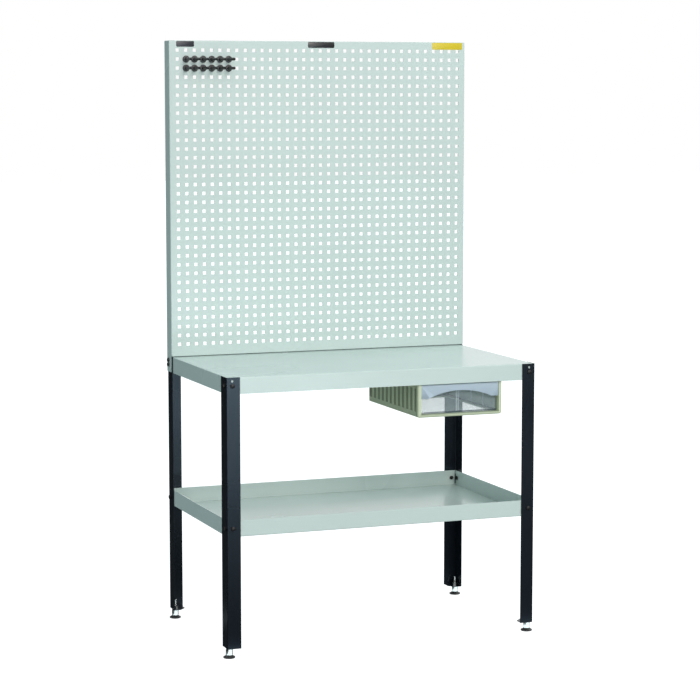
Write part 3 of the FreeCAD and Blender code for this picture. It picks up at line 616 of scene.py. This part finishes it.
def clearDrawer():
    s = drawerSettings
    low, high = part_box("clear_drawer")
    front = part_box("drawer_case")[0].y + s["recess"]
    shadeBandTop = low.z + s["shadeBand"]
    bm = mergedCopy("clear_drawer")
    cutAt(bm, (0, 0, shadeBandTop), (0, 0, 1), weldGap)
    cutAt(bm, (0, front, 0), (0, 1, 0), weldGap)
    for face in bm.faces:
        middle = face.calc_center_median()
        upright = abs(face.normal.z) < 0.5
        if middle.y < front - s["gap"]:
            face.material_index = 1
        # painted shade: the upright faces of the band along the floor get the dark copy of the clear
        # plastic
        elif middle.z < shadeBandTop and upright:
            face.material_index = 2
        # painted highlight: the divider ribs get the whiter, more opaque copy of the clear plastic
        elif isSlotRib(middle, front, low, high) and upright:
            face.material_index = 3
    finishPiece("clear_drawer_detail", bm, (clearStyrene, frostedStyrene, paintedShadeStyrene, ribHighlightStyrene),
                "drawer", "clear_plastic", "clear_drawer")


drawerCase()
clearDrawer()
print("drawer and its case made")


# bare plates on the panel's top margin

plateSettings = {"cornerRadius": 3 * mm, "cornerSegments": 6, "rim": 0.25 * mm, "rimSegments": 2}


def marginPlate(node, material, slot):
    s = plateSettings
    low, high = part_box(node)
    bm = bmesh.new()
    block(bm, low, high)
    upright = [edge for edge in bm.edges
               if abs(edge.verts[0].co.y - edge.verts[1].co.y) > 0.5 * (high.y - low.y)]
    roundEdges(bm, upright, s["cornerRadius"], s["cornerSegments"])
    front = [edge for edge in bm.edges if all(abs(vert.co.y - low.y) < near for vert in edge.verts)]
    roundEdges(bm, front, s["rim"], s["rimSegments"])
    finishPiece(node + "_detail", bm, (material,), "bench", slot, node)


marginPlate("margin_plate_left", greyPlate, "grey_plate")
marginPlate("margin_plate_middle", blackPlate, "black_plate")
marginPlate("margin_plate_right", yellowPlate, "yellow_plate")
print("plates made")


# world and floor: white to the camera, a plainer light to the object

studioSettings = {"ambient": 0.63, "ambientColour": (0.79, 1.0, 1.03), "floorColour": 0.5,
                  "floorGlow": 0.9, "floorHalf": 30}


def whiteToCamera(tree):
    # 1 where the camera, a mirror or clear plastic looks straight at the surface
    path = tree.nodes.new("ShaderNodeLightPath")
    total = path.outputs["Is Camera Ray"]
    for name in ("Is Glossy Ray", "Is Transmission Ray"):
        most = tree.nodes.new("ShaderNodeMath")
        most.operation = "MAXIMUM"
        tree.links.new(total, most.inputs[0])
        tree.links.new(path.outputs[name], most.inputs[1])
        total = most.outputs[0]
    return total


def mixToOutput(tree, outputType, plain, white):
    # the second shader shows where whiteToCamera is 1
    mix = tree.nodes.new("ShaderNodeMixShader")
    output = tree.nodes.new(outputType)
    tree.links.new(whiteToCamera(tree), mix.inputs["Fac"])
    tree.links.new(plain.outputs[0], mix.inputs[1])
    tree.links.new(white.outputs[0], mix.inputs[2])
    tree.links.new(mix.outputs[0], output.inputs["Surface"])


def studioWorld():
    world = bpy.data.worlds.new("studioWorld")
    bpy.context.scene.world = world
    world.use_nodes = True
    tree = world.node_tree
    tree.nodes.clear()
    ambient = tree.nodes.new("ShaderNodeBackground")
    ambient.inputs["Strength"].default_value = studioSettings["ambient"]
    ambient.inputs["Color"].default_value = (*studioSettings["ambientColour"], 1)
    white = tree.nodes.new("ShaderNodeBackground")
    white.inputs["Strength"].default_value = 1.0
    white.inputs["Color"].default_value = (1, 1, 1, 1)
    mixToOutput(tree, "ShaderNodeOutputWorld", ambient, white)


def stageObject(name, bm, materialName):
    # a sheet of the studio, with an empty material
    mesh = bpy.data.meshes.new(name)
    bm.to_mesh(mesh)
    bm.free()
    sheet = bpy.data.objects.new(name, mesh)
    bpy.context.scene.collection.objects.link(sheet)
    material = bpy.data.materials.new(materialName)
    material.use_nodes = True
    material.node_tree.nodes.clear()
    mesh.materials.append(material)
    return sheet, material.node_tree


def studioFloor():
    bm = bmesh.new()
    bmesh.ops.create_grid(bm, x_segments=2, y_segments=2, size=studioSettings["floorHalf"])
    floor, tree = stageObject("studioFloor", bm, "floorPaper")
    paper = tree.nodes.new("ShaderNodeBsdfDiffuse")
    level = studioSettings["floorColour"]
    paper.inputs["Color"].default_value = (level, level, level, 1)
    glow = tree.nodes.new("ShaderNodeEmission")
    glow.inputs["Strength"].default_value = studioSettings["floorGlow"]
    both = tree.nodes.new("ShaderNodeAddShader")
    tree.links.new(paper.outputs[0], both.inputs[0])
    tree.links.new(glow.outputs[0], both.inputs[1])
    mixToOutput(tree, "ShaderNodeOutputMaterial", paper, both)


# cards that only mirrors see: dark cloths keep the white surroundings out of the paint, and bright
# sheets on the floor give the legs' fall of light and the feet their shine

cardSettings = {
    "floorCloth": {"size": (40, 40), "place": (0, 0, 0.001), "tilt": 0, "level": 0.04},
    "sideCloth": {"size": (9, 7), "place": (-5.1, 4.5, 3.4), "tilt": 90, "level": 0.03},
    "frontSheet": {"size": (3.4, 4.4), "place": (0.1, -6.2, 0.002), "tilt": 0, "level": 9},
}
cardColour = (0.8, 0.95, 1.0)
footSheetSettings = {"size": (0.16, 0.12), "ahead": 0.04, "height": 0.0015, "level": 1.6}


def glossCard(name, size, place, tilt, level):
    bm = bmesh.new()
    bmesh.ops.create_grid(bm, x_segments=1, y_segments=1, size=0.5)
    bmesh.ops.scale(bm, vec=(*size, 1), verts=bm.verts[:])
    bmesh.ops.rotate(bm, cent=(0, 0, 0), matrix=Matrix.Rotation(math.radians(tilt), 3, "X"),
                     verts=bm.verts[:])
    bmesh.ops.translate(bm, vec=place, verts=bm.verts[:])
    card, tree = stageObject(name, bm, name + "Cloth")
    glow = tree.nodes.new("ShaderNodeEmission")
    glow.inputs["Color"].default_value = (*cardColour, 1)
    glow.inputs["Strength"].default_value = level
    output = tree.nodes.new("ShaderNodeOutputMaterial")
    tree.links.new(glow.outputs[0], output.inputs["Surface"])
    card.visible_camera = False
    card.visible_diffuse = False
    card.visible_transmission = False
    card.visible_shadow = False


def footSheet(corner):
    s = footSheetSettings
    low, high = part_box("foot_pad_" + corner)
    place = ((low.x + high.x) / 2, low.y - s["ahead"], s["height"])
    glossCard("footSheet_" + corner, s["size"], place, 0, s["level"])


# lamps; a level is the share of full light that the lamp puts on a surface that faces it

lampTarget = Vector((0, 0, 0.85))
lampSettings = {
    "keyLamp": {"azimuth": 4, "elevation": 26, "distance": 7, "size": 2.6, "level": 0.54,
                "colour": (1.0, 0.95, 0.92)},
    "backLamp": {"azimuth": 118, "elevation": 28, "distance": 5.5, "size": 2.4, "level": 0.16,
                 "colour": (1, 1, 1)},
}


def softLamp(name, azimuth, elevation, distance, size, level, colour):
    a, e = math.radians(azimuth), math.radians(elevation)
    way = Vector((math.sin(a) * math.cos(e), -math.cos(a) * math.cos(e), math.sin(e)))
    data = bpy.data.lights.new(name, "AREA")
    data.shape = "SQUARE"
    data.size = size
    data.color = colour
    data.energy = level * (math.pi * distance) ** 2
    lamp = bpy.data.objects.new(name, data)
    lamp.location = lampTarget + way * distance
    lamp.rotation_mode = "QUATERNION"
    lamp.rotation_quaternion = way.to_track_quat("Z", "Y")
    bpy.context.scene.collection.objects.link(lamp)


cameraSettings = {"place": (-2.28924, -5.98620, 1.51512), "down": 6.52, "turn": -20.96, "lens": 118.44,
                  "sensor": 36, "clipEnd": 200}


def studioCamera():
    s = cameraSettings
    data = bpy.data.cameras.new("studioCamera")
    data.sensor_width = s["sensor"]
    data.lens = s["lens"]
    data.clip_end = s["clipEnd"]
    camera = bpy.data.objects.new("studioCamera", data)
    camera.location = s["place"]
    camera.rotation_euler = (math.radians(90 - s["down"]), 0, math.radians(s["turn"]))
    bpy.context.scene.collection.objects.link(camera)
    bpy.context.scene.camera = camera


studioWorld()
studioFloor()
for name, settings in cardSettings.items():
    glossCard(name, **settings)
for corner in cornerNames:
    footSheet(corner)
for name, settings in lampSettings.items():
    softLamp(name, **settings)
studioCamera()
bpy.context.scene.view_settings.view_transform = "Standard"

print("stage set")
